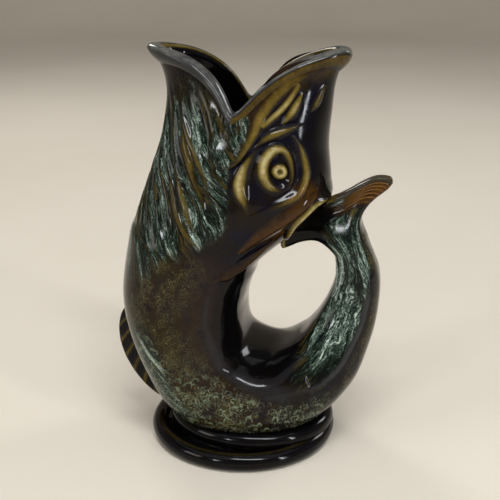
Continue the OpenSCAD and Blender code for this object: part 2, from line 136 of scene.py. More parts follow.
def along(keys, t):
    """Smooth curve through the keys, run on straight past both ends."""
    keys = np.asarray(keys, float)
    t = np.asarray(t, float)
    ends = np.concatenate([[2 * keys[0] - keys[1]], keys, [2 * keys[-1] - keys[-2]]])
    i = np.clip(np.floor(t).astype(int), 0, len(keys) - 2)
    f = (t - i)[..., None]
    p, q, r, s = ends[i], ends[i + 1], ends[i + 2], ends[i + 3]
    return 0.5 * (2 * q + (r - p) * f + (2 * p - 5 * q + 4 * r - s) * f ** 2 + (3 * q - p - 3 * r + s) * f ** 3)


def smooth_path(points, count, closed=False):
    """Evenly spread points of the smooth curve through some points."""
    points = np.asarray(points, float)
    if closed:
        ring = np.concatenate([points[-2:], points, points[:3]])
        return along(ring, 2 + np.linspace(0, len(points), count, endpoint=False))
    return along(points, np.linspace(0, len(points) - 1, count))


KEYS = fish_keys()


def skin(a, t, depth=0):
    """Point of the skin at angle a (0 back, 180 front, positive towards -Y) round section t."""
    a, t = np.broadcast_arrays(np.asarray(a, float), np.asarray(t, float))
    s = along(KEYS, t)
    back, front = s[..., 0:2], s[..., 2:4]
    half = np.linalg.norm(back - front, axis=-1) / 2
    axis = (back - front) / (2 * half)[..., None]
    c, n = np.cos(np.radians(a)), np.sin(np.radians(a))
    p = (back + front) / 2 + axis * ((half - depth) * rounded(c, s[..., 5]))[..., None]
    return np.stack([p[..., 0], -(s[..., 4] - depth) * rounded(n, s[..., 5]), p[..., 1]], -1)


def change(surface, a, t, da=0, dt=0):
    return surface(a + da, t + dt) - surface(a - da, t - dt)


def normal_of(surface, a, t):
    """Outward normal of a surface of a and t."""
    return unit(np.cross(change(surface, a, t, dt=NUDGE_T), change(surface, a, t, da=NUDGE_A)))


def label_z(t):
    """Height that section t would have on the upright head."""
    return CHEEK_Z + LEVEL_STEP * (np.asarray(t, float) - CHEEK_I)


def head_t(z):
    return CHEEK_I + (np.asarray(z, float) - CHEEK_Z) / LEVEL_STEP


# Ends of the zones of modelling and glaze: what each rises between and, where there are four, falls between.
# They are section numbers unless the name says a (angle), h (height of a point), z (height by section), x,
# rim (depth below the rim), out and up (on the lip's section), or v and u (along and across the tail fin).
EDGE = {
    "throat_a": (84, 100), "throat_z": (86, 104, 176, 158), "crease": (0, 1, 10.3, 9.4), "lobe": (1.12, 0.66),
    "hollow": (20, 8), "head": (10.6, 11.4), "tail": (5.7, 4), "tip": (1.1, 0.3), "body": (4.8, 6.4, 11.6, 10.6),
    "fold_rim": (1.5, 3.5, 13, 8), "fold_a": (82, 90, 100, 92), "neck_x": (2, -4), "neck_h": (86, 122),
    "neck_top_h": (174, 154), "neck_rim_h": (196, 182), "neck_a": (72, 90), "under_rim": (17, 9),
    "upper_lip_a": (2, 14, 98, 86), "lower_lip_a": (112, 150), "stream_a": (14, 34), "keel": (6.4, 7.2, 9, 8),
    "keel_a": (96, 112, 158, 134), "chest": (7.8, 9), "chest_a": (92, 118), "speck_a": (52, 116),
    "lichen": (4, 5), "lichen_h": (60, 28), "cheek_a": (15, 32, 62, 36), "cheek_z": (98, 112, 140, 128),
    # The last three ends on the next line place the pale painted highlight along the loop's edge.
    "torso_a": (30, 70), "nape_a": (40, 24), "highlight_body": (0.7, 1.2), "highlight_tail": (1.3, 1.9), "ash": (1, 1.8),
    "snout_a": (50, 8), "snout_left_a": (310, 352), "spout_a": (140, 175, 220, 185), "crest_up": (0.9, 2.6),
    "crest_out": (-4.2, -3), "face_out": (-1, 0.2), "face_up": (-4.6, -2.4), "inside_out": (-3.5, -4.6),
    "line_up": (0, 1.5), "ripple_v": (0.5, 0.7), "ripple_u": (-0.1, 0.2), "hem_v": (0.92, 0.99),
    "left_u": (0.15, -0.15), "patch_v": (0.7, 0.85), "mint_v": (0.62, 0.3), "mint_u": (-0.8, -0.2),
    "margin_u": (1, 0.8), "neck_v": (0.3, 0.05), "rib_v": (0.42, 0.6), "rib_u": (0.05, 0.35),
    "brown_v": (0.4, 0.65), "brown_u": (-0.1, 0.4), "pool_v": (0.25, 0.5), "root_v": (0, 0.3),
    "keel_rib": (0.15, 0.4),
}


def edge(name, value):
    ends = EDGE[name]
    share = step(*ends[:2], value)
    return share * step(*ends[2:], value) if ends[2:] else share


# Streaks on the throat run down and back; ray_line is constant along a streak
ARC = 0.65
RAY_FIRST, RAY_PITCH, RAY_SLOPE, RAY_BEND = -71.4, 8.3, 0.53, 0.003


def ray_line(a, t):
    z = label_z(t) - CHEEK_Z
    return -ARC * np.abs(a) + RAY_SLOPE * z - RAY_BEND * z * z


# The soft edge round the finger loop: section numbers with its angle, width, height and rounding
CREASE = ((-0.5, 0.8, 1.5, 2.3, 3.1, 3.9, 4.55, 5.2, 5.9, 6.5, 7.1, 7.9, 8.7, 9.3, 10.2, 12),
          (116, 114, 113, 110, 104, 98, 91, 81, 66, 57, 55.5, 61, 64, 63.5, 62, 60))
CREASE_WIDTH, CREASE_HEIGHT = ((4, 6), (3.4, 4)), ((4, 6), (1.9, 1.2))
CREASE_ROUND = ((4.4, 5.4, 7.4, 8.4), (1, 5, 5, 0.9))


def crease_line(t):
    return np.interp(t, *CREASE)


def crease(a, t):
    """Height of the loop's edge at a point of the skin."""
    line = crease_line(t)
    d = (np.abs(a) - line) * np.linalg.norm(change(skin, line, t, da=HALF_DEGREE), axis=-1)
    width, tall, soft = (np.interp(t, *curve) for curve in (CREASE_WIDTH, CREASE_HEIGHT, CREASE_ROUND))
    return tall * np.exp(-(np.hypot(d, soft) - soft) / width) * edge("crease", t)


LOBE_A, LOBE_Z, LOBE_HALF_A, LOBE_HALF_Z, LOBE_LEAN = 93.5, 155, 11.5, 13.5, 0.25


def jaw_lobe(a, t):
    """Share of the rounded lobe that hangs from the corner of the mouth."""
    z = label_z(t) - LOBE_Z
    return edge("lobe", np.hypot((np.abs(a) - LOBE_A + LOBE_LEAN * z) / LOBE_HALF_A, z / LOBE_HALF_Z))


FLUTE_H, HOLLOW_H, HOLLOW_OVAL, LOBE_H = 0.45, 0.7, 0.9, 1.5


def swell(a, t):
    """Modelling of the skin itself: flutes on the throat, a hollow round the eye, the jaw, the loop's edge."""
    flute = np.cos(2 * np.pi * (ray_line(a, t) - RAY_FIRST) / RAY_PITCH)
    dx, dz = ARC * (np.abs(a) - EYE_A), label_z(t) - EYE_Z
    hollow = edge("hollow", np.hypot(dx, dz * HOLLOW_OVAL))
    lobe = jaw_lobe(a, t)
    throat = edge("throat_a", np.abs(a)) * edge("throat_z", label_z(t))
    return FLUTE_H * flute * throat * (1 - lobe) - HOLLOW_H * hollow + LOBE_H * lobe + crease(a, t)


def outer(a, t):
    """Point of the modelled skin."""
    return skin(a, t) + normal_of(skin, a, t) * swell(a, t)[..., None]


# The corner of the mouth is a small round web, and the upper lip's tip droops
CORNER_WEB, CORNER_REACH, DROOP, DROOP_A = 2.3, 8, 2.4, 15


def rim_z(a):
    """Height of the mouth's rim at an angle."""
    c, k = np.cos(np.radians(a)), math.cos(math.radians(CORNER_A))
    upper = (np.abs(1 - c) / (1 - k)) ** UPPER_CURVE
    lower = (np.abs(1 + c) / (1 + k)) ** LOWER_CURVE
    above = mix(JUG_H, CORNER_Z, np.where(c > k, upper, lower)) - CORNER_Z
    droop = DROOP * bump((a + 180) % 360 - 180, 0, DROOP_A)
    return CORNER_Z + np.hypot(above, CORNER_WEB) - CORNER_WEB * bump(above, 0, CORNER_REACH) - droop


def rim_t(a):
    return head_t(rim_z(a) - LIP_H)


# Glaze zones, as vertex attributes: shares of each effect, and the flow of the streaks; the dark and pale ones also
# carry painted shade and painted highlights
ZONES = ("mint", "speck", "lichen", "ridge", "brown", "pool", "ash")
RIM_MINT, FOLD_MINT, LOBE_MINT, KEEL_MINT, CHEST_MINT = 0.4, 0.8, 0.75, 0.75, 0.45
TAIL_MINT, TIP_MINT, MOST_MINT, TAIL_SPECK, NECK_SPECK = 1.5, 0.3, 1.8, 0.8, 0.55
# The last two are shares of a pale painted highlight along the loop's edge, on the body and on the tail.
CHIN, UNDER_RIDGE, UNDER_BROWN, TORSO_BROWN, BODY_HIGHLIGHT, TAIL_HIGHLIGHT = 0.7, 0.44, 0.2, 0.2, 0.2, 0.42
# Angles past the loop's edge where the tail's stream, the lichen and the speckles end, and what the tip adds
STREAM_OUT, STREAM_IN, TIP_OUT, TIP_IN = 8, -4, 22, 16
# The last number is the share of the loop edge's angle inside which the loop's inner wall is darkened.
PAST_LICHEN, PAST_SPECK, LOOP_DARK_FROM = (2, 22), (2, 30), 0.72
FLOW_T, TAIL_FLOW, BODY_STREAM, TAIL_STREAM = 6, 0.22, 40, 73


def zones(a, t, p):
    """Shares of the glaze effects at points p of the skin, with the flow there, and a painted highlight along the
    loop's edge.
    """
    s, z = np.abs(np.asarray(a, float)), label_z(t)
    x, h = p[..., 0], p[..., 2]
    below, line, loop_edge = rim_z(a) - z, crease_line(t), crease(a, t)
    head, tail, tip = edge("head", t), edge("tail", t), edge("tip", t)
    body, keel = edge("body", t), edge("keel", t) * edge("keel_a", s)
    fold = head * edge("fold_rim", below) * edge("fold_a", s)
    up_neck = edge("neck_h", h) * mix(edge("neck_top_h", h), 1, RIM_MINT * edge("neck_rim_h", h))
    neck = np.clip(edge("neck_x", x) * up_neck * edge("neck_a", s) + FOLD_MINT * fold
                   + LOBE_MINT * jaw_lobe(a, t), 0, 1)
    lips = np.clip(edge("upper_lip_a", s) + CHIN * edge("lower_lip_a", s), 0, 1)
    under_lip = head * edge("under_rim", below) * lips
    stream = (TAIL_MINT + TIP_MINT * tip) * tail * edge("stream_a", s)
    stream = stream * step(line + STREAM_OUT + TIP_OUT * tip, line + STREAM_IN + TIP_IN * tip, s)
    chest = body * edge("chest_a", s) * edge("chest", t)
    past_lichen, past_speck = (step(line + lo, line + hi, s) for lo, hi in (PAST_LICHEN, PAST_SPECK))
    cheek = head * edge("cheek_a", s) * edge("cheek_z", z)
    inside = step(line, line * LOOP_DARK_FROM, s) * (1 - tail) * (1 - head)
    # Pale painted highlight along the loop's edge on the body
    body_highlight = BODY_HIGHLIGHT * edge("highlight_body", loop_edge) * (1 - tail)
    zone = {
        "mint": np.clip(neck + stream + KEEL_MINT * keel + CHEST_MINT * chest, 0, MOST_MINT),
        "speck": np.clip(body * edge("speck_a", s) + TAIL_SPECK * tail * past_speck + NECK_SPECK * neck, 0, 1),
        "lichen": np.clip(edge("lichen_h", h) * edge("lichen", t) * past_lichen + keel, 0, 1) * (1 - head),
        "ridge": UNDER_RIDGE * under_lip,
        "brown": np.clip(cheek + TORSO_BROWN * body * edge("torso_a", s) + UNDER_BROWN * under_lip, 0, 1),
        # darker on the loop's inner wall towards the hole, and black at the back of the head
        "pool": np.clip(inside + head * edge("nape_a", s), 0, 1),
        # pale painted highlight along the loop's edge on the body and on the tail
        "ash": body_highlight + TAIL_HIGHLIGHT * edge("highlight_tail", loop_edge) * tail * edge("ash", t),
    }
    across = np.where(t > FLOW_T, ray_line(a, t), s * TAIL_FLOW)
    depth = np.where(t > FLOW_T, BODY_STREAM, TAIL_STREAM) * np.where(np.asarray(a) < 0, -1, 1)
    zone["flow"] = np.stack([across, np.asarray(t) * LEVEL_STEP + 0 * across, depth + 0 * across], -1)
    return zone


def blank(points):
    return {**{k: np.zeros(points.shape[:2]) for k in ZONES}, "flow": np.zeros(points.shape)}


def joined(parts, axis=0):
    return {k: np.concatenate([part[k] for part in parts], axis) for k in parts[0]}


# Making of meshes
BESIDE, FLOW_BESIDE = np.array([1, -1, 1]), np.array([1, 1, -1])
SHARP_FOOT, SHARP_FIN, SHARP_RELIEF = 40, 70, 75


def add_piece(name, points, faces, zone, slot, node, normals=None, sharp=SHARP_FIN):
    """A visible piece on the body, with its glaze; edges over `sharp` degrees stay sharp."""
    mesh = bpy.data.meshes.new(name)
    mesh.from_pydata((points.reshape(-1, 3) * MM).tolist(), [], faces)
    bm = bmesh.new()
    bm.from_mesh(mesh)
    bmesh.ops.recalc_face_normals(bm, faces=bm.faces)
    bm.to_mesh(mesh)
    bm.free()
    for key, values in zone.items():
        kind, field = ("FLOAT_VECTOR", "vector") if key == "flow" else ("FLOAT", "value")
        data = mesh.attributes.new(key, kind, "POINT").data
        data.foreach_set(field, values.reshape(-1).astype(np.float32))
    mesh.shade_smooth()
    if normals is not None:
        mesh.normals_split_custom_set_from_vertices(normals.reshape(-1, 3).tolist())
    else:
        mesh.set_sharp_from_angle(angle=math.radians(sharp))
    mesh.materials.append(GLAZES[slot])
    piece = bpy.data.objects.new(name, mesh)
    bpy.context.scene.collection.objects.link(piece)
    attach(piece, "root")
    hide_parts(node)


def ring_faces(points, wrap=False):
    """Quads between the rows of a grid of points; wrap joins the last row to the first."""
    rows, n = points.shape[:2]
    faces = []
    for i in range(rows if wrap else rows - 1):
        j = (i + 1) % rows
        for k in range(n):
            m = (k + 1) % n
            faces.append((i * n + k, i * n + m, j * n + m, j * n + k))
    return faces


def capped_faces(points):
    rows, n = points.shape[:2]
    return ring_faces(points) + [tuple(range(n)), tuple(range(rows * n - n, rows * n))]


def flattened(points, faces, zone):
    return points.reshape(-1, 3), faces, {k: v.reshape((-1,) + v.shape[2:]) for k, v in zone.items()}


ROUND = np.linspace(-180, 180, 160, endpoint=False)
TIP_PLUG = 0.5


def shell_piece(name, lower, upper, slot, node, rows, inner_rows, closed_tip=False):
    """Hollow length of the fish between section numbers, the upper one a number or one for each angle."""
    f_out, f_in = np.linspace(0, 1, rows)[:, None], np.linspace(1, 0, inner_rows)[:, None]
    t_out = mix(lower, upper + 0 * ROUND, f_out)
    t_in = mix(lower + (TIP_PLUG if closed_tip else 0), upper + 0 * ROUND, f_in)
    a_out, a_in = np.broadcast_to(ROUND, t_out.shape), np.broadcast_to(ROUND, t_in.shape)
    p_out, p_in = outer(a_out, t_out), skin(a_in, t_in, WALL)
    inside = blank(p_in)
    # The inner walls are painted near black: painted shade inside the hollow jug.
    inside["pool"] += 1
    normals = np.concatenate([normal_of(outer, a_out, t_out), -normal_of(skin, a_in, t_in)])
    points = np.concatenate([p_out, p_in])
    faces = capped_faces(points) if closed_tip else ring_faces(points, wrap=True)
    add_piece(name, points, faces, joined([zones(a_out, t_out, p_out), inside]), slot, node, normals)


# Section of a rolled lip: distance out of the skin and rise along it
LIP_SECTION = ((-0.6, -4.8), (0.4, -3.7), (1.35, -2), (1.85, -0.2), (1.6, 1.7), (0.4, 3), (-1.5, 3.4),
               (-3, 3.2), (-4.2, 2.2), (-4.7, 0.6), (-4.9, -1.2), (-4.2, -2.8), (-2.4, -3.8))
LIP_POINTS, LIP_PITCH, LIP_TIP_GROWTH = 52, 2, 0.35
# Shares of the glaze effects on the lip; pairs are for a grey and for an olive lip. The grey face is a painted
# reflection, and the pale crest a painted highlight.
LIP_FACE_REFLECTION, LIP_CREST_HIGHLIGHT, LIP_RIDGE = (0.46, 0), (0.56, 0.58), (0.2, 0.54)
LIP_BROWN, LIP_INSIDE_SHADE, LIP_LINE, LIP_LINE_AT, LIP_LINE_W = 0.15, 0.8, 0.6, -4.1, 0.8


def lip_piece(name, start, end, node, olive):
    """Rolled lip along part of the rim, thicker at the tips."""
    angles = np.arange(start, end + LIP_PITCH / 2, LIP_PITCH)
    section = smooth_path(LIP_SECTION, LIP_POINTS, closed=True)
    t = rim_t(angles)
    rim = skin(angles, t)
    out = unit(rim - skin(angles, t, WALL))
    up = unit(skin(angles, t + SLOPE_T) - rim)
    turn = angles % 360
    grow = 1 + LIP_TIP_GROWTH * (edge("snout_a", turn) + edge("spout_a", turn) + edge("snout_left_a", turn))
    reach = section[None] * grow[:, None, None]
    points = rim[:, None] + out[:, None] * reach[..., :1] + up[:, None] * reach[..., 1:]
    zone = blank(points)
    side, rise = section[None, :, 0], section[None, :, 1]
    crest = edge("crest_up", rise)
    face = edge("face_out", side) * edge("face_up", rise) * (1 - crest)
    line = LIP_LINE * bump(side, LIP_LINE_AT, LIP_LINE_W) * edge("line_up", rise)
    # painted reflection on the lower lip's outer face, and a painted highlight along the crest of both lips
    zone["ash"] += mix(*LIP_FACE_REFLECTION, olive) * face
    zone["ash"] += mix(*LIP_CREST_HIGHLIGHT, olive) * crest * edge("crest_out", side)
    # painted shade on the lip's inner side, facing into the mouth
    zone["pool"] += LIP_INSIDE_SHADE * edge("inside_out", side)
    zone["ridge"] += line + mix(*LIP_RIDGE, olive) * face
    zone["brown"] += LIP_BROWN * olive * face
    add_piece(name, points, capped_faces(points), zone, "lip_glaze", node)


# Ridges laid on the head: depth sunk in the skin, points across, width left at the ends, forms of the section
SINK, BED, END_WIDTH, BELL_POWER, TINT_POWER = 0.9, 0.08, 0.12, 1.5, 1.15
ACROSS = np.linspace(-1, 1, 15)


def spread(value, count, closed):
    """A value for each point of a path, from one number or from a list along the path."""
    if np.ndim(value):
        return smooth_path(np.asarray(value, float)[:, None], count, closed)[:, 0]
    return np.full(count, float(value))


def sprig(path, width, height, side, closed=False, count=60, taper=0.55, skew=0, tint=1, brown=None):
    """A ridge laid on the head's skin along (angle, height) points: points, faces and zones."""
    rail = smooth_path(path, count, closed)
    w, h, tint = (spread(value, count, closed) for value in (width, height, tint))
    a, t = rail[:, 0], head_t(rail[:, 1])
    p = outer(a, t)
    run = np.roll(p, -1, 0) - np.roll(p, 1, 0) if closed else np.gradient(p, axis=0)
    across = unit(np.cross(unit(run), normal_of(outer, a, t)))
    if not closed:
        end = np.sin(np.linspace(0, np.pi, count)) ** taper
        w, h = w * mix(END_WIDTH, 1, end), h * end
    # offsets over the skin that move a point sideways by a millimetre
    pa, pt = change(outer, a, t, da=HALF_DEGREE), change(outer, a, t, dt=SLOPE_T) / (2 * SLOPE_T)
    both = (pa * pt).sum(-1)
    gram = np.stack([np.stack([(pa * pa).sum(-1), both], -1), np.stack([both, (pt * pt).sum(-1)], -1)], -2)
    wanted = np.stack([(pa * across).sum(-1), (pt * across).sum(-1)], -1)
    move = np.linalg.solve(gram, wanted[..., None])[..., 0]
    reach = ACROSS[None, :] * w[:, None] / 2
    aa, tt = a[:, None] + move[:, :1] * reach, t[:, None] + move[:, 1:] * reach
    base, lift = outer(aa, tt), normal_of(outer, aa, tt)
    lean = np.where(ACROSS < skew, (ACROSS - skew) / (1 + skew), (ACROSS - skew) / (1 - skew))
    bell = np.cos(lean * np.pi / 2)[None, :] ** BELL_POWER
    top = base + lift * (h[:, None] * bell - BED)[..., None]
    under = base - lift * SINK
    zone = zones(aa, tt, base)
    fade = np.sqrt(np.clip(h / h.max(), 0, 1))
    zone["ridge"] = np.clip((tint * fade)[:, None] * bell ** TINT_POWER, 0, 1)
    if brown is not None:
        zone["brown"] = np.maximum(zone["brown"], brown * bell) if brown else 0 * zone["brown"]
    if side < 0:
        top, under, zone["flow"] = top * BESIDE, under * BESIDE, zone["flow"] * FLOW_BESIDE
    points = np.concatenate([top, under[:, ::-1]], axis=1)
    zone = joined([zone, {k: v[:, ::-1] for k, v in zone.items()}], axis=1)
    return flattened(points, ring_faces(points, wrap=True) if closed else capped_faces(points), zone)


def relief_piece(name, sprigs, node, slot="relief_glaze"):
    """One piece of several closed forms."""
    faces, first = [], 0
    for points, form, _ in sprigs:
        faces += [tuple(first + i for i in face) for face in form]
        first += len(points)
    points, _, parts = zip(*sprigs)
    add_piece(name, np.concatenate(points), faces, joined(parts), slot, node, sharp=SHARP_RELIEF)


PUPIL_R, PUPIL_ROWS, PUPIL_AROUND, PUPIL_START = 4.2, 16, 40, 0.02
# Pupil from the middle out: share of the radius with the height, and with the tint
PUPIL_H = ((0, 0.18, 0.36, 0.55, 0.75, 0.9, 1), (1.25, 1.35, 1.85, 2, 1.6, 0.7, -0.1))
PUPIL_TINT = ((0, 0.2, 0.4, 0.6, 0.85, 1), (0.45, 0.5, 0.95, 0.85, 0.5, 0))


def pupil_sprig(side):
    """A button with a dimple, on the skin at the eye."""
    r = np.linspace(PUPIL_START, 1, PUPIL_ROWS)[:, None]
    th = full_turn(PUPIL_AROUND)[None, :]
    aa = EYE_A - PUPIL_R * r * np.cos(th) / ARC
    tt = head_t(EYE_Z + PUPIL_R * r * np.sin(th))
    base, lift = outer(aa, tt), normal_of(outer, aa, tt)
    top = base + lift * np.interp(r, *PUPIL_H)[..., None]
    points = np.concatenate([top, base[-1:] - lift[-1:] * SINK])
    tint = np.interp(r, *PUPIL_TINT) + 0 * th
    zone = blank(points)
    zone["ridge"] = np.concatenate([tint, 0 * tint[:1]])
    if side < 0:
        points = points * BESIDE
    return flattened(points, capped_faces(points), zone)


EYE_STEP, EYE_COUNT, EYE_OUT, EYE_UP, EYE_BACK, EYE_RISE = 24, 96, 6.5, 9.8, 0.7, 0.3
# Width, height and tint of the eye band: mean, change towards the back and change upwards
EYE_WIDTH, EYE_HEIGHT, EYE_TINT = (6.6, -1.7, 0.4), (1.9, -0.3, 0.35), (0.82, -0.2, 0.1)
# Painted shadow on the band's lower part, under the pupil: depth of tint, turn and width in degrees
EYE_SHADOW, EYE_SHADOW_AT, EYE_SHADOW_W = 0.3, 290, 32


def eye_band():
    """The ring round the eye: wider, higher and paler towards the front, with a painted shadow below."""
    turn = np.arange(0, 360, EYE_STEP)
    c, n = np.cos(np.radians(turn)), np.sin(np.radians(turn))
    path = np.stack([EYE_A - (EYE_OUT * c - EYE_BACK) / ARC, EYE_Z + EYE_UP * n + EYE_RISE], -1)
    width, height, tint = (mean + back * c + up * n for mean, back, up in (EYE_WIDTH, EYE_HEIGHT, EYE_TINT))
    # painted shadow below the pupil
    tint = tint - EYE_SHADOW * bump(turn, EYE_SHADOW_AT, EYE_SHADOW_W)
    return dict(path=path, width=width, height=height, closed=True, count=EYE_COUNT, tint=tint)


# Relief of one side of the head: (angle, height) points on the skin, with widths, heights and tints along them
BROW = dict(path=[(80, 151.5), (71, 156.6), (58.2, 159.8), (42, 162.6)], width=[5, 6.4, 6, 4], height=1.7,
            tint=[0.5, 0.62, 0.68, 0.5], taper=0.9)
CRESCENT = dict(path=[(74, 113), (80.5, 121), (84, 128.5), (84.6, 136.5), (82.4, 143.5), (77.5, 150), (71, 154.5)],
                width=[6, 8.4, 9.6, 9, 7.6, 6, 5], height=[1, 1.7, 2.2, 2.1, 1.8, 1.4, 1],
                tint=[0.5, 0.75, 0.92, 1, 0.9, 0.7, 0.5], taper=0.8, skew=-0.2)
OUTER_RIDGE = dict(path=[(58, 160), (50, 156.3), (42.5, 149.8), (40, 140.5), (46, 130.8), (57, 124.6), (68, 119.5),
                         (77, 114)],
                   width=[4, 5, 6.4, 7, 7.4, 7.4, 7, 5], height=[1, 1.4, 1.8, 1.9, 1.9, 1.7, 1.4, 1],
                   tint=[0.5, 0.6, 0.72, 0.8, 0.78, 0.66, 0.5, 0.4], taper=0.8)
CHEEK_FOLD = dict(path=[(28, 133), (37, 125.8), (46.2, 118.5), (51, 112.2), (55.5, 105), (57.5, 97)],
                  width=[7, 10, 11, 11, 10, 8], height=1.7, tint=0.5, brown=1)
LIP_FOLD = dict(path=[(97, 141), (90.5, 144.5), (85.5, 150.5), (81.5, 157.5), (79, 164.4), (73.5, 171.8),
                      (63, 179.8), (50, 184.4), (34, 187.2), (14, 188)],
                width=[7, 9, 10, 10, 10, 11, 13, 13, 12, 10], height=1.8, count=110,
                tint=[0.6, 0.72, 0.72, 0.7, 0.7, 0.66, 0.6, 0.54, 0.5, 0.5], skew=0.35, taper=0.8, brown=0.12)
LEAF = dict(path=[(75, 162), (68.8, 165.2), (60, 171), (53.6, 178.6), (62.5, 177.2), (71.8, 171.2)],
            width=5.2, height=1.5, closed=True, count=72, tint=[0.7, 0.85, 0.85, 0.6, 0.45, 0.5])
THIN_FLUTE = dict(path=[(62, 162), (55, 167.8), (48, 176)], width=[4.4, 6.6, 4.6], height=1.7, tint=0.85)
NOSTRIL = dict(path=[(40, 166.5), (33.5, 172), (26.5, 179)], width=[4, 6.4, 4], height=1.5, tint=0.58)
GILL = dict(path=[(63, 75), (57, 80), (49.5, 85), (42.5, 92), (38.5, 98), (38, 105)], width=[4, 6, 8, 8, 8, 6],
            height=[0.3, 0.9, 1.6, 1.8, 1.8, 1.4], skew=0.5, tint=0.4, brown=0.8, taper=1)
RAY = dict(width=7.6, height=1.6, count=80, tint=0.57)
RAY_PATHS = ([(135, 165), (125.2, 157.2), (118, 151.6), (110.2, 143.1), (105, 135.1), (99, 124)],
             [(129, 159), (125.5, 154.2), (117.8, 144.3), (111.8, 133.9), (106, 124.2), (97, 113)],
             [(131, 142), (122, 128.5), (113, 117), (101, 107), (90, 101)],
             [(131, 130), (125.8, 123.1), (117, 113.4), (105, 104.8), (92.5, 98.4), (82, 95)])
# Pieces of relief: name, replaced node and ridges
RELIEF = (
    ("brow_ridge", "brow", [BROW]),
    ("cheek_modelling", "cheek_ridges", [CRESCENT, OUTER_RIDGE, CHEEK_FOLD]),
    ("lip_welt", "lip_fold", [LIP_FOLD]),
    ("snout_leaves", "snout_flutes", [LEAF, THIN_FLUTE, NOSTRIL]),
    ("throat_fan", "throat_rays", [dict(RAY, path=path) for path in RAY_PATHS]),
    ("gill_lip", "gill_edge", [GILL]),
)


def head_relief(side, word):
    """All the relief on one side of the head."""
    relief_piece(f"{word}_eye_band", [sprig(side=side, **eye_band())], f"{word}_eye_ring")
    relief_piece(f"{word}_eye_button", [pupil_sprig(side)], f"{word}_pupil")
    for name, node, ridges in RELIEF:
        slot = "ray_glaze" if node == "throat_rays" else "relief_glaze"
        relief_piece(f"{word}_{name}", [sprig(side=side, **ridge) for ridge in ridges], f"{word}_{node}", slot)


LATHE_AROUND, FOOT_POOL, FOOT_POINTS, COLLAR_POINTS = 180, 0.8, 44, 28
# Pale painted reflection along the top of the foot's roll: its strength and how narrow it is
FOOT_TOP_REFLECTION, FOOT_REFLECTION_POWER = 0.4, 10
# Collar: tuck under the bead, ends of the bead's arc, shelf inside it, depth and rise of the core
COLLAR_TUCK, COLLAR_ARC, COLLAR_SHELF, COLLAR_SHELF_UP = 1.2, (-60, 90), 5, 0.6
COLLAR_CORE, COLLAR_DIP = 14, 1


def lathe_piece(name, profile, node, tint, x=0, oval=1):
    """A profile of (radius, height) points turned round the vertical."""
    th = full_turn(LATHE_AROUND)[:, None]
    r, z = profile[None, :, 0], profile[None, :, 1]
    points = np.stack([x + r * np.cos(th), oval * r * np.sin(th), z + 0 * th], -1)
    zone = blank(points)
    zone["pool"] += FOOT_POOL
    # tint: the pale painted reflection on the foot's roll, none on the collar
    zone["ridge"] += tint
    add_piece(name, points, ring_faces(points, wrap=True), zone, "foot_glaze", node, sharp=SHARP_FOOT)


def arc(cx, cz, r, start, end, count):
    th = np.radians(np.linspace(start, end, count))
    return np.stack([cx + r * np.cos(th), cz + r * np.sin(th)], -1)


def foot_pieces():
    """The rolled standing edge, with a pale painted reflection along its top, and the collar on it."""
    roll, land, recess = FOOT_EDGE_H / 2, FOOT_EDGE_H - GROOVE_H, FOOT_RECESS_D / 2
    meet = 180 - math.degrees(math.asin((land - roll) / roll))
    profile = np.concatenate([arc(FOOT_D / 2 - roll, roll, roll, -90, meet, FOOT_POINTS),
                              [(recess, land), (recess, 0)]])
    # the upward-facing top of the roll gets a pale painted reflection
    facing_up = np.clip(np.sin(np.radians(np.linspace(-90, meet, FOOT_POINTS))), 0, 1)
    tint = np.concatenate([FOOT_TOP_REFLECTION * facing_up ** FOOT_REFLECTION_POWER, [0, 0]])
    lathe_piece("rolled_foot", profile, "foot_ring", tint)
    bead = (COLLAR_Z - land) / 2
    bead_r, core = COLLAR_R + COLLAR_BROW - bead, COLLAR_R - COLLAR_CORE
    profile = np.concatenate([[(COLLAR_R - COLLAR_TUCK, land)],
                              arc(bead_r, land + bead, bead, *COLLAR_ARC, COLLAR_POINTS),
                              [(bead_r - COLLAR_SHELF, COLLAR_Z + COLLAR_SHELF_UP), (core, COLLAR_Z - COLLAR_DIP),
                               (core, land)]])
    lathe_piece("moulded_collar", profile, "foot_collar", 0, x=COLLAR_X, oval=COLLAR_OVAL)


# The tail fin fans out of the tail's tip: its two edges and its rim, as sideways reach and rise from the tip
FAN_LOW = ((-8.6, 0), (-8.4, 3.4), (-9.2, 7.2), (-10.9, 10.3), (-13.6, 12.4), (-16.8, 13.8), (-20.2, 14.9),
           (-23.6, 15.5), (-26.8, 16.2))
FAN_HIGH = ((8.9, 0), (9.6, 3.8), (11, 7.3), (14.1, 10), (18, 11.6), (22.4, 12.4), (26, 12.6),
            (29.2, 12.8), (31.4, 13.4))
FAN_RIM = ((-26.8, 16.2), (-26.4, 18.4), (-23.6, 20.7), (-19.4, 22.7), (-14.2, 24.3), (-8.8, 25.2), (-2.6, 25.2),
           (3.2, 23.8), (9.2, 22.2), (14.6, 21.6), (20.8, 21.4), (26.8, 20.4), (30.6, 18.2), (32.4, 15.8),
           (31.4, 13.4))
FAN_HALF = (12.4, 11.4, 9.8, 8, 6.4, 5.2, 4.3, 3.7, 3.4)
FAN_SKIRT_ROWS, FAN_ROWS, FAN_AROUND, FAN_TURN_ROWS = 16, 130, 144, 9
FAN_START, FAN_SKIRT, FAN_ROLL, FAN_RIM_POWER, FAN_RIBS, FAN_RIPPLE = 0.03, 0.9, 1.6, 3.4, 13, 0.14
# How far the skirt stands out of the tail, by section number
FAN_PROUD = ((FAN_START, 0.35, 0.72, FAN_SKIRT), (1.55, 0.7, 0.12, -0.5))
FAN_MINT, FAN_HEM, FAN_RIB_TINT, FAN_ASH, FAN_RUN = 1.3, (0.42, 0.9), 0.75, 0.55, 30
FAN_PATCH_AT, FAN_PATCH_W = 0.08, 0.1
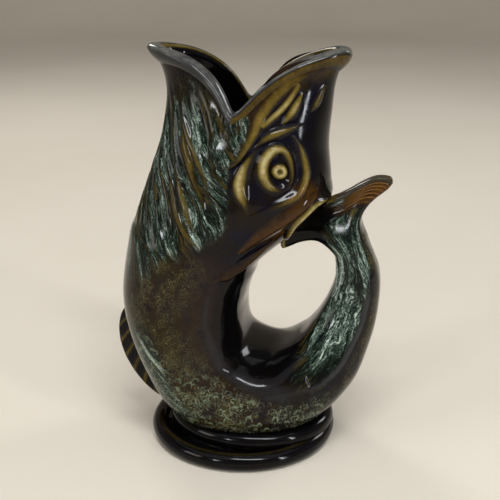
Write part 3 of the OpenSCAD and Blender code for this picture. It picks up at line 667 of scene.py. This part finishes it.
# Edge of the fan's inner lobe where it is luted to the head
FAN_WELT = dict(path=[(14, 123.5), (26, 123.2), (34, 121.6), (38.2, 116.8), (38, 112.2), (33, 108.6),
                      (25, 104.8), (14, 101.8)],
                width=[4, 5.4, 6, 6.4, 6.4, 6.4, 6, 5], height=2.6, count=70, brown=0)


def fan_sheet(u, share):
    """In-plane points of the fan: a patch that fills the tip, both edges and the rim."""
    f = (u + 1) / 2
    v = share * (len(FAN_LOW) - 1)
    low, high = along(FAN_LOW, v), along(FAN_HIGH, v)
    rim = along(FAN_RIM, f * (len(FAN_RIM) - 1))
    g, w = f[..., None], share[..., None]
    tip = mix(np.array(FAN_LOW[0]), np.array(FAN_HIGH[0]), g)
    ends = mix(np.array(FAN_LOW[-1]), np.array(FAN_HIGH[-1]), g)
    return mix(tip, rim, w) + mix(low, high, g) - mix(tip, ends, w)


def fan_wave(share):
    return np.cos(2 * np.pi * share * FAN_RIBS)


def fan_zones(zone, u, share):
    """Glaze on the fan: mint at its neck, ribs and a pale hem on the outer lobe, dark on the inner one."""
    hem, left = edge("hem_v", share), edge("left_u", u)
    rib = (0.5 + 0.5 * fan_wave(share)) * edge("rib_v", share) * edge("rib_u", u)
    neck = edge("mint_v", share) * edge("margin_u", np.abs(u))
    neck = neck * mix(edge("mint_u", u), 1, edge("neck_v", share))
    zone["mint"] = FAN_MINT * neck + edge("patch_v", share) * bump(u, FAN_PATCH_AT, FAN_PATCH_W)
    zone["ridge"] = np.clip(hem * mix(*FAN_HEM, left) + FAN_RIB_TINT * rib * (1 - hem), 0, 1)
    zone["brown"] = edge("brown_v", share) * edge("brown_u", u) * (1 - hem)
    zone["ash"] = FAN_ASH * hem * (1 - left)
    zone["pool"] = edge("pool_v", share) * left * (1 - hem)
    return zone


def tail_fan():
    """The fin on the tail's tip, and the welt of its inner lobe on both sides of the head."""
    back, front = KEYS[0][0:2], KEYS[0][2:4]
    side = unit(front - back)
    rise = np.array([-side[1], side[0]])
    th = full_turn(FAN_AROUND)[None, :]
    # a skirt lies on the tail's skin and flares towards the tip
    t = np.linspace(FAN_SKIRT, FAN_START, FAN_SKIRT_ROWS)[:, None] + 0 * th
    angle = 180 + np.degrees(th) + 0 * t
    skirt = skin(angle, t) + normal_of(skin, angle, t) * np.interp(t, *FAN_PROUD)[..., None]
    share = np.linspace(FAN_START, 1, FAN_ROWS)[:, None] + 0 * th
    power = mix(TAIL_POWER, FAN_RIM_POWER, share)
    u = rounded(np.cos(th), power)
    thick = along(np.array(FAN_HALF)[:, None], share * (len(FAN_HALF) - 1))[..., 0]
    ripple = FAN_RIPPLE * fan_wave(share) * edge("ripple_v", share) * edge("ripple_u", u)
    half = (thick + ripple) * rounded(np.sin(th), power)
    flat = fan_sheet(u, share)
    flat = (back + front) / 2 + flat[..., :1] * side + flat[..., 1:] * rise
    fan = np.stack([flat[..., 0], half, flat[..., 1]], -1)
    # the rim turns over and closes the fan
    turn = np.linspace(0, np.pi / 2, FAN_TURN_ROWS)[1:, None]
    in_plane = np.array([1, 0, 1])
    out = unit(np.gradient(fan, axis=0)[-1:] * in_plane)
    roll = fan[-1:] * in_plane + out * (FAN_ROLL * np.sin(turn))[..., None]
    roll[..., 1] = fan[-1:, :, 1] * np.cos(turn)
    points = np.concatenate([skirt, fan, roll])
    share = np.concatenate([0 * t, share, 1 + 0 * turn + 0 * th])
    u = np.concatenate([np.repeat(u[:1], FAN_SKIRT_ROWS, 0), u, np.repeat(u[-1:], len(turn), 0)])
    # the tail's glaze runs on over the root
    zone = fan_zones(blank(points), u, share)
    tail = zones((angle + 180) % 360 - 180, t, skirt)
    root = joined([tail, {k: np.repeat(v[-1:], len(points) - FAN_SKIRT_ROWS, 0) for k, v in tail.items()}])
    for key in ZONES:
        zone[key] = mix(root[key], zone[key], edge("root_v", share))
    zone["flow"] = root["flow"]
    zone["flow"][..., 1] -= FAN_RUN * share
    forms = [flattened(points, capped_faces(points), zone)]
    forms += [sprig(side=hand, **FAN_WELT) for hand in (1, -1)]
    relief_piece("tail_fan", forms, "tail_fin", "fin_glaze")


KEEL_ROWS, KEEL_AROUND, KEEL_RIBS, KEEL_LEAN = 150, 40, 8, 1.4
KEEL_ROOT, KEEL_LOW, KEEL_CURVE, KEEL_RIPPLE, KEEL_THIN, KEEL_POWER = 3, 0.4, 1.1, 0.16, 0.55, 3
KEEL_TINT, KEEL_TINT_POWER, KEEL_POOL = 0.6, 1.6, 0.6


def keel_fin():
    """A ribbed fin along the front of the belly."""
    u = np.linspace(0, 1, KEEL_ROWS)[:, None]
    th = full_turn(KEEL_AROUND)[None, :]
    f = (1 - np.cos(th)) / 2
    t = mix(KEEL_FIN_T0, KEEL_FIN_T1, u)
    h = KEEL_FIN_H * np.sqrt(np.clip(np.sin(np.pi * u ** KEEL_CURVE), 0, 1)) + KEEL_LOW
    p = skin(180, t + 0 * th, mix(KEEL_ROOT, -h, f))
    rib = np.cos(2 * np.pi * (KEEL_RIBS * u + KEEL_LEAN * f))
    y = KEEL_FIN_T / 2 * (1 - KEEL_RIPPLE + KEEL_RIPPLE * rib) * mix(1, KEEL_THIN, f)
    points = np.stack([p[..., 0], -y * rounded(np.sin(th), KEEL_POWER), p[..., 2]], -1)
    zone = blank(points)
    zone["ridge"] = KEEL_TINT * np.clip(0.5 + 0.5 * rib, 0, 1) ** KEEL_TINT_POWER * edge("keel_rib", f)
    zone["pool"] += KEEL_POOL
    add_piece("keel_fin", points, capped_faces(points), zone, "fin_glaze", "belly_fin")


# Glazes; the numbers are a mix node's sockets for colours
MIX_A, MIX_B, MIX_OUT = 6, 7, 2


class Nodes:
    """Short hand for building a material's node tree."""

    def __init__(self, name):
        self.material = bpy.data.materials.new(name)
        self.material.use_nodes = True
        self.tree = self.material.node_tree
        self.tree.nodes.clear()
        self.shader = self.add("BsdfPrincipled")
        self.add("OutputMaterial", {"Surface": self.shader.outputs[0]})

    def add(self, kind, inputs=None, **props):
        node = self.tree.nodes.new("ShaderNode" + kind)
        for key, value in props.items():
            setattr(node, key, value)
        self.put(node, inputs or {})
        return node

    def put(self, node, inputs):
        """Links or sets a node's inputs, given by name or number."""
        for key, value in inputs.items():
            if isinstance(value, bpy.types.NodeSocket):
                self.tree.links.new(value, node.inputs[key])
            else:
                node.inputs[key].default_value = value

    def attribute(self, name, output="Fac"):
        return self.add("Attribute", attribute_name=name).outputs[output]

    def coords(self):
        return self.add("TexCoord").outputs["Object"]

    def noise(self, key, vector, output="Fac"):
        names = ("Scale", "Detail", "Roughness", "Distortion")
        return self.add("TexNoise", {"Vector": vector, **dict(zip(names, NOISE[key]))}).outputs[output]

    def height(self, vector):
        return self.add("SeparateXYZ", {0: vector}).outputs["Z"]

    def math(self, operation, a, b=0):
        return self.add("Math", {0: a, 1: b}, operation=operation).outputs[0]

    def vector(self, operation, a, b):
        return self.add("VectorMath", {0: a, 1: b}, operation=operation).outputs[0]

    def product(self, first, *others):
        for value in others:
            first = self.math("MULTIPLY", first, value)
        return first

    def total(self, *terms):
        """Sum of values, each given with its weight."""
        result, *others = (self.math("MULTIPLY", value, weight) for value, weight in terms)
        for value in others:
            result = self.math("ADD", result, value)
        return result

    def span(self, key, value):
        names = ("From Min", "From Max", "To Min", "To Max")
        return self.add("MapRange", {"Value": value, **dict(zip(names, SPAN[key]))},
                        interpolation_type="SMOOTHSTEP", clamp=True).outputs["Result"]

    def patch(self, key, vector):
        """A noise mapped by the range of the same name."""
        return self.span(key, self.noise(key, vector))

    def thread(self, key, vector):
        """Thin lines where a noise passes its middle."""
        return self.span(key, self.math("ABSOLUTE", self.math("SUBTRACT", self.noise(key, vector), 0.5)))

    def ramp(self, value, stops):
        node = self.add("ValToRGB", {"Fac": value})
        band = node.color_ramp
        while len(band.elements) < len(stops):
            band.elements.new(0.5)
        for element, (place, colour) in zip(band.elements, stops):
            element.position, element.color = place, rgba(colour)
        return node.outputs["Color"]

    def blend(self, share, a, b):
        return self.add("Mix", {"Factor": share, MIX_A: a, MIX_B: b}, data_type="RGBA").outputs[MIX_OUT]


def rgba(colour):
    """Linear colour of a hex code or of three linear numbers."""
    if isinstance(colour, str):
        c = [int(colour[i:i + 2], 16) / 255 for i in (1, 3, 5)]
        colour = [v / 12.92 if v <= 0.04045 else ((v + 0.055) / 1.055) ** 2.4 for v in c]
    return tuple(colour) + (1,)


NAVY, BLACK, UMBER, SOOT = "#0a0a16", "#060504", "#1e1602", "#140e04"
KHAKI, RUST, OCHRE, GOLD = "#736b42", "#4a3006", "#4a3d18", "#5a4a1c"
GROUND = ((0.3, BLACK), (0.5, NAVY), (0.7, SOOT))
MILK = ((0.44, "#070b09"), (0.51, "#131c17"), (0.56, "#3b483f"), (0.615, "#8a9a8d"), (0.7, "#cdd2c8"))
MOSS = ((0.35, "#333a28"), (0.65, "#808d74"))
CRESTS = ((0.1, "#0c0904"), (0.42, "#2c230b"), (0.7, "#5f5020"), (0.88, "#837447"), (1, "#a3976a"))
RUSTS = ((0.1, "#0f0703"), (0.4, "#311c0b"), (0.72, "#63411c"), (1, "#8a6b3c"))
# Pale greys, mostly for painted highlights and reflections
ASH_AND_HIGHLIGHT_TONES = ((0, "#0a0a0d"), (0.5, "#343434"), (1, "#7f7d70"))
# Noises of the glaze: scale, detail, roughness and distortion
NOISE = {
    "cloud": (55, 3, 0.55), "broad": (160, 4, 0.6, 0.6), "fine": (1100, 3, 0.7),
    "dust": (1500, 2, 0.7), "worm": (430, 2, 0.6, 1.4), "speck_patch": (90, 4, 0.65, 0.4),
    "warp": (1, 3, 0.6), "band": (1, 2, 0.5), "streak": (1, 6, 0.7, 0.35),
    "thread": (1, 3, 0.7, 0.5), "bend": (220, 2, 0.5), "curl": (190, 2, 0.6, 1.6),
    "drip": (1, 4, 0.6), "moss_patch": (95, 3, 0.55), "wear_fine": (420, 4, 0.65),
    "wear_broad": (110, 3, 0.5), "gloss": (260, 3, 0.6), "peel": (230, 2, 0.5), "floor": (3, 4, 0.5),
}
# Ranges that values are mapped from, and to where that isn't 0 to 1
SPAN = {
    "rust_patch": (0.25, 0.6), "umber_patch": (0.3, 0.6), "umber_cloud": (0.36, 0.56, 0.2, 0.95),
    "dust": (0.5, 0.68), "worm": (0.03, 0.005), "speck_patch": (0.4, 0.64), "more_milk": (1, 1.8, 0, 0.055),
    "gate": (0.35, 0.8), "bare_band": (0.5, 0.38, 0, 0.8), "bare_streak": (0.42, 0.62), "bare_mint": (1.4, 1),
    "arch_in": (0.3, 0.4), "arch_out": (0.56, 0.44), "arch_over": (-0.0012, 0.0002), "arch_patch": (0.38, 0.56),
    "curl": (0.03, 0.006), "moss_patch": (0.42, 0.58), "drip": (0.55, 0.66), "drip_height": (0.02, 0.0135),
    "dot": (0.26, 0.08, 0, 0.8), "dot_patch": (0.62, 0.45), "ash": (0, 0.3), "crest": (0.08, 0.6),
    "gloss": (0.3, 0.7, 0.06, 0.15),
}
# Stretch of the flow for each pattern of the streaks, and of space for the drips
WARP_SCALE, WARP_REACH, DRIP_SCALE = (0.12, 0.05, 0.1), (9, 4, 0), (330, 330, 60)
STREAMS = (("band", (0.16, 0.02, 0.15)), ("streak", (0.9, 0.07, 0.2)), ("thread", (2.6, 0.2, 0.3)))
BEND_REACH, CELL_SCALE = (0.003, 0.003, 0.005), 230
DUST_SHARE, WORM_SHARE, DARK_SHARE = 0.85, 0.6, 0.9
STREAK_SHARE, THREAD_SHARE, FINE_SHARE, BAND_SHARE, BAND_MIDDLE = 0.45, 0.35, 0.2, 0.42, 0.52
GATE_BASE, ASH_AND_HIGHLIGHT_BASE, WEAR_BASE, WEAR_FINE, WEAR_BROAD = 0.62, 0.5, 0.55, 0.5, 0.4
PEEL_SHARE, MILK_PEEL, PEEL_STRENGTH, PEEL_H = 0.7, 0.5, 0.1, 0.0005
GLAZE_IOR, GLAZE_SPECULAR = 1.5, 0.16


class Glaze(Nodes):
    """Node tree of the jug's one glaze, with the values that its layers share."""

    def __init__(self, name):
        super().__init__(name)
        self.where, self.flow = self.coords(), self.attribute("flow", "Vector")
        self.zone = {key: self.attribute(key) for key in ZONES}
        self.cloud, self.broad, self.fine = (self.noise(key, self.where) for key in ("cloud", "broad", "fine"))


def speckled(g):
    """Navy and black, rust where the glaze is brown, then khaki dust and worms on umber."""
    colour = g.blend(g.product(g.zone["brown"], g.span("rust_patch", g.broad)), g.ramp(g.cloud, GROUND), rgba(RUST))
    speck = g.zone["speck"]
    umber = g.product(g.span("umber_patch", g.broad), speck, g.span("umber_cloud", g.cloud))
    dust = g.product(g.patch("dust", g.where), DUST_SHARE)
    worm = g.product(g.thread("worm", g.where), WORM_SHARE)
    dots = g.product(g.math("MAXIMUM", dust, worm), g.patch("speck_patch", g.where), speck)
    return g.blend(dots, g.blend(umber, colour, rgba(UMBER)), rgba(KHAKI))


def streaked(g, colour):
    """Mint streaks that flow along the rays and the tail, bare to ochre between them; also their height."""
    mint = g.zone["mint"]
    warp = g.noise("warp", g.vector("MULTIPLY", g.flow, WARP_SCALE), "Color")
    stream = g.vector("ADD", g.flow, g.vector("MULTIPLY", warp, WARP_REACH))
    band, streak, thread = (g.noise(key, g.vector("MULTIPLY", stream, scale)) for key, scale in STREAMS)
    milk = g.total((streak, STREAK_SHARE), (thread, THREAD_SHARE), (g.fine, FINE_SHARE),
                   (g.math("SUBTRACT", band, BAND_MIDDLE), BAND_SHARE))
    milk = g.math("ADD", milk, g.span("more_milk", mint))
    gate = g.span("gate", g.product(mint, g.math("ADD", GATE_BASE, g.broad)))
    bare = g.product(g.span("bare_band", band), g.span("bare_streak", streak), g.span("bare_mint", mint))
    veil = g.blend(bare, g.ramp(milk, MILK), rgba(OCHRE))
    return g.blend(gate, colour, veil), g.product(milk, gate)


def mossy(g, colour):
    """Lichen near the foot: arches, curls, gold dots and drips."""
    lichen = g.zone["lichen"]
    bent = g.vector("ADD", g.where, g.vector("MULTIPLY", g.noise("bend", g.where, "Color"), BEND_REACH))
    cells = g.add("TexVoronoi", {"Vector": bent, "Scale": CELL_SCALE}, feature="F1")
    cell = cells.outputs["Distance"]
    over = g.height(g.vector("SUBTRACT", bent, cells.outputs["Position"]))
    arch = g.product(g.span("arch_in", cell), g.span("arch_out", cell), g.span("arch_over", over),
                     g.span("arch_patch", g.broad))
    curl = g.product(g.thread("curl", bent), g.patch("moss_patch", g.where))
    drip = g.product(g.patch("drip", g.vector("MULTIPLY", bent, DRIP_SCALE)), lichen,
                     g.span("drip_height", g.height(g.where)))
    moss = g.math("MAXIMUM", g.math("MAXIMUM", arch, curl), drip)
    dots = g.product(g.span("dot", cell), g.span("dot_patch", g.broad), lichen)
    return g.blend(g.product(lichen, moss), g.blend(dots, colour, rgba(GOLD)), g.ramp(g.fine, MOSS))


def crested(g, colour):
    """Black glaze and painted shade, pale grey painted highlights and reflections on the lips and the loop's edge,
    olive or rust where it breaks on crests.
    """
    # near black where the glaze is black, and painted shade inside the shells and on the lips' inner side
    colour = g.blend(g.product(g.zone["pool"], DARK_SHARE), colour, rgba(BLACK))
    # pale grey: painted highlights and reflections on the lips and the loop's edge, and the fin's pale hem
    pale_share = g.product(g.zone["ash"], g.math("ADD", ASH_AND_HIGHLIGHT_BASE, g.broad))
    colour = g.blend(g.span("ash", pale_share), colour, g.ramp(pale_share, ASH_AND_HIGHLIGHT_TONES))
    wear = g.total((g.noise("wear_fine", g.where), WEAR_FINE), (g.noise("wear_broad", g.where), WEAR_BROAD))
    worn = g.product(g.zone["ridge"], g.math("ADD", WEAR_BASE, wear))
    crest = g.blend(g.zone["brown"], g.ramp(worn, CRESTS), g.ramp(worn, RUSTS))
    return g.blend(g.span("crest", worn), colour, crest)


def make_glaze(name):
    g = Glaze(name)
    colour, veil = streaked(g, speckled(g))
    peel = g.total((g.noise("peel", g.where), PEEL_SHARE), (veil, MILK_PEEL))
    relief = g.add("Bump", {"Strength": PEEL_STRENGTH, "Distance": PEEL_H, "Height": peel})
    g.put(g.shader, {"Base Color": crested(g, mossy(g, colour)), "Roughness": g.patch("gloss", g.where),
                     "Normal": relief.outputs[0], "IOR": GLAZE_IOR, "Specular IOR Level": GLAZE_SPECULAR})
    return g.material


SLOTS = ("head_glaze", "body_glaze", "belly_glaze", "tail_glaze", "lip_glaze", "foot_glaze", "fin_glaze",
         "relief_glaze", "ray_glaze")
GLAZES = {slot: make_glaze("fired_" + slot) for slot in SLOTS}


def make_pieces():
    shell_piece("glazed_head", TORSO_END, rim_t(ROUND), "head_glaze", "head_shell", rows=84, inner_rows=30)
    shell_piece("glazed_torso", BELLY_END, TORSO_END, "body_glaze", "torso_shell", rows=60, inner_rows=14)
    shell_piece("glazed_belly", TAIL_END, BELLY_END, "belly_glaze", "belly_shell", rows=80, inner_rows=18)
    shell_piece("glazed_tail", 0, TAIL_END, "tail_glaze", "tail_handle", rows=70, inner_rows=18, closed_tip=True)
    lip_piece("rolled_lower_lip", CORNER_A, 360 - CORNER_A, "lower_lip", olive=0)
    lip_piece("rolled_upper_lip", -CORNER_A, CORNER_A, "upper_lip", olive=1)
    foot_pieces()
    tail_fan()
    keel_fin()
    for side, word in ((1, "left"), (-1, "right")):
        head_relief(side, word)


# Stage, in metres and watts: a pale bowl of a floor, soft lamps and the photograph's view
FLOOR_TONES = ((0.3, (0.55, 0.495, 0.415)), (0.7, (0.59, 0.535, 0.455)))
FLOOR_ROUGH, FLOOR_SPECULAR = 0.9, 0.05
FLOOR_RINGS, FLOOR_FLAT_R, FLOOR_BEND_R, FLOOR_TOP = (0.6, 1.2), 1.9, 0.6, 1.8
FLOOR_AROUND, FLOOR_BEND_ROWS = 96, 13
HEART = (0, 0, 0.09)
WHITE, COOL, COOLER, WARM = (1, 1, 1), (0.94, 0.97, 1), (0.92, 0.96, 1), (1, 0.97, 0.93)
# Lamps: name, place, target, width, height, power, colour and roll
LAMPS = (
    ("ceiling", (0, 0, 2.6), (0, 0, 0), 4, 4, 35, WHITE, 0),
    ("overhead", (0.18, -0.49, 0.99), HEART, 0.6, 0.13, 8, (0.93, 0.97, 1), -36),
    ("front", (-0.45, -1.05, 0.6), HEART, 0.12, 0.12, 2.4, COOL, 0),
    ("window", (0.86, -0.56, 0.4), HEART, 0.07, 0.5, 4, COOLER, 0),
    ("fill", (-0.85, -0.6, 0.55), HEART, 0.4, 0.4, 2.6, WARM, 0),
    ("back_left", (-0.6, 0.75, 0.8), HEART, 0.3, 0.3, 3.6, WHITE, 0),
    ("back_right", (0.7, 0.7, 0.7), HEART, 0.24, 0.3, 2.8, COOL, 0),
)
SKY, SKY_STRENGTH = (0.92, 0.95, 1, 1), 0.08
VIEW_FROM, VIEW_TO = (0.07504, -0.40574, 0.240), (0.0035, 0, 0.096)
VIEW_LENS, VIEW_SENSOR, VIEW_NEAR = 65.02, 36, 0.01


def make_floor():
    g = Nodes("pale_floor")
    g.put(g.shader, {"Base Color": g.ramp(g.noise("floor", g.coords()), FLOOR_TONES),
                     "Roughness": FLOOR_ROUGH, "Specular IOR Level": FLOOR_SPECULAR})
    bend = np.radians(np.linspace(0, 90, FLOOR_BEND_ROWS))
    wall = np.stack([FLOOR_FLAT_R + FLOOR_BEND_R * np.sin(bend), FLOOR_BEND_R - FLOOR_BEND_R * np.cos(bend)], -1)
    rim = np.concatenate([[(r, 0) for r in FLOOR_RINGS], wall, [(FLOOR_FLAT_R + FLOOR_BEND_R, FLOOR_TOP)]])
    turn = full_turn(FLOOR_AROUND)[None, :]
    points = np.stack([rim[:, :1] * np.cos(turn), rim[:, :1] * np.sin(turn), rim[:, 1:] + 0 * turn], -1)
    faces = [tuple(range(FLOOR_AROUND))] + [face[::-1] for face in ring_faces(points)]
    mesh = bpy.data.meshes.new("floor")
    mesh.from_pydata(points.reshape(-1, 3).tolist(), [], faces)
    mesh.shade_smooth()
    mesh.materials.append(g.material)
    floor = bpy.data.objects.new("floor", mesh)
    bpy.context.scene.collection.objects.link(floor)


def aim(place, target):
    return (Vector(target) - Vector(place)).to_track_quat("-Z", "Y")


def make_lamp(name, place, target, width, height, watts, colour, roll):
    data = bpy.data.lights.new(name, "AREA")
    data.shape, data.size, data.size_y = "RECTANGLE", width, height
    data.energy, data.color = watts, colour
    lamp = bpy.data.objects.new(name, data)
    lamp.location = place
    lamp.rotation_euler = (aim(place, target) @ Quaternion((0, 0, 1), math.radians(roll))).to_euler()
    lamp.visible_camera = False
    bpy.context.scene.collection.objects.link(lamp)


def make_stage():
    scene = bpy.context.scene
    make_floor()
    world = bpy.data.worlds.new("studio")
    world.use_nodes = True
    sky = world.node_tree.nodes["Background"]
    sky.inputs["Color"].default_value, sky.inputs["Strength"].default_value = SKY, SKY_STRENGTH
    scene.world = world
    for row in LAMPS:
        make_lamp(*row)
    camera = bpy.data.cameras.new("camera")
    camera.lens, camera.sensor_width, camera.clip_start = VIEW_LENS, VIEW_SENSOR, VIEW_NEAR
    view = bpy.data.objects.new("camera", camera)
    view.location = VIEW_FROM
    view.rotation_euler = aim(VIEW_FROM, VIEW_TO).to_euler()
    scene.collection.objects.link(view)
    scene.camera = view
    scene.view_settings.view_transform = "Standard"


make_pieces()
make_stage()
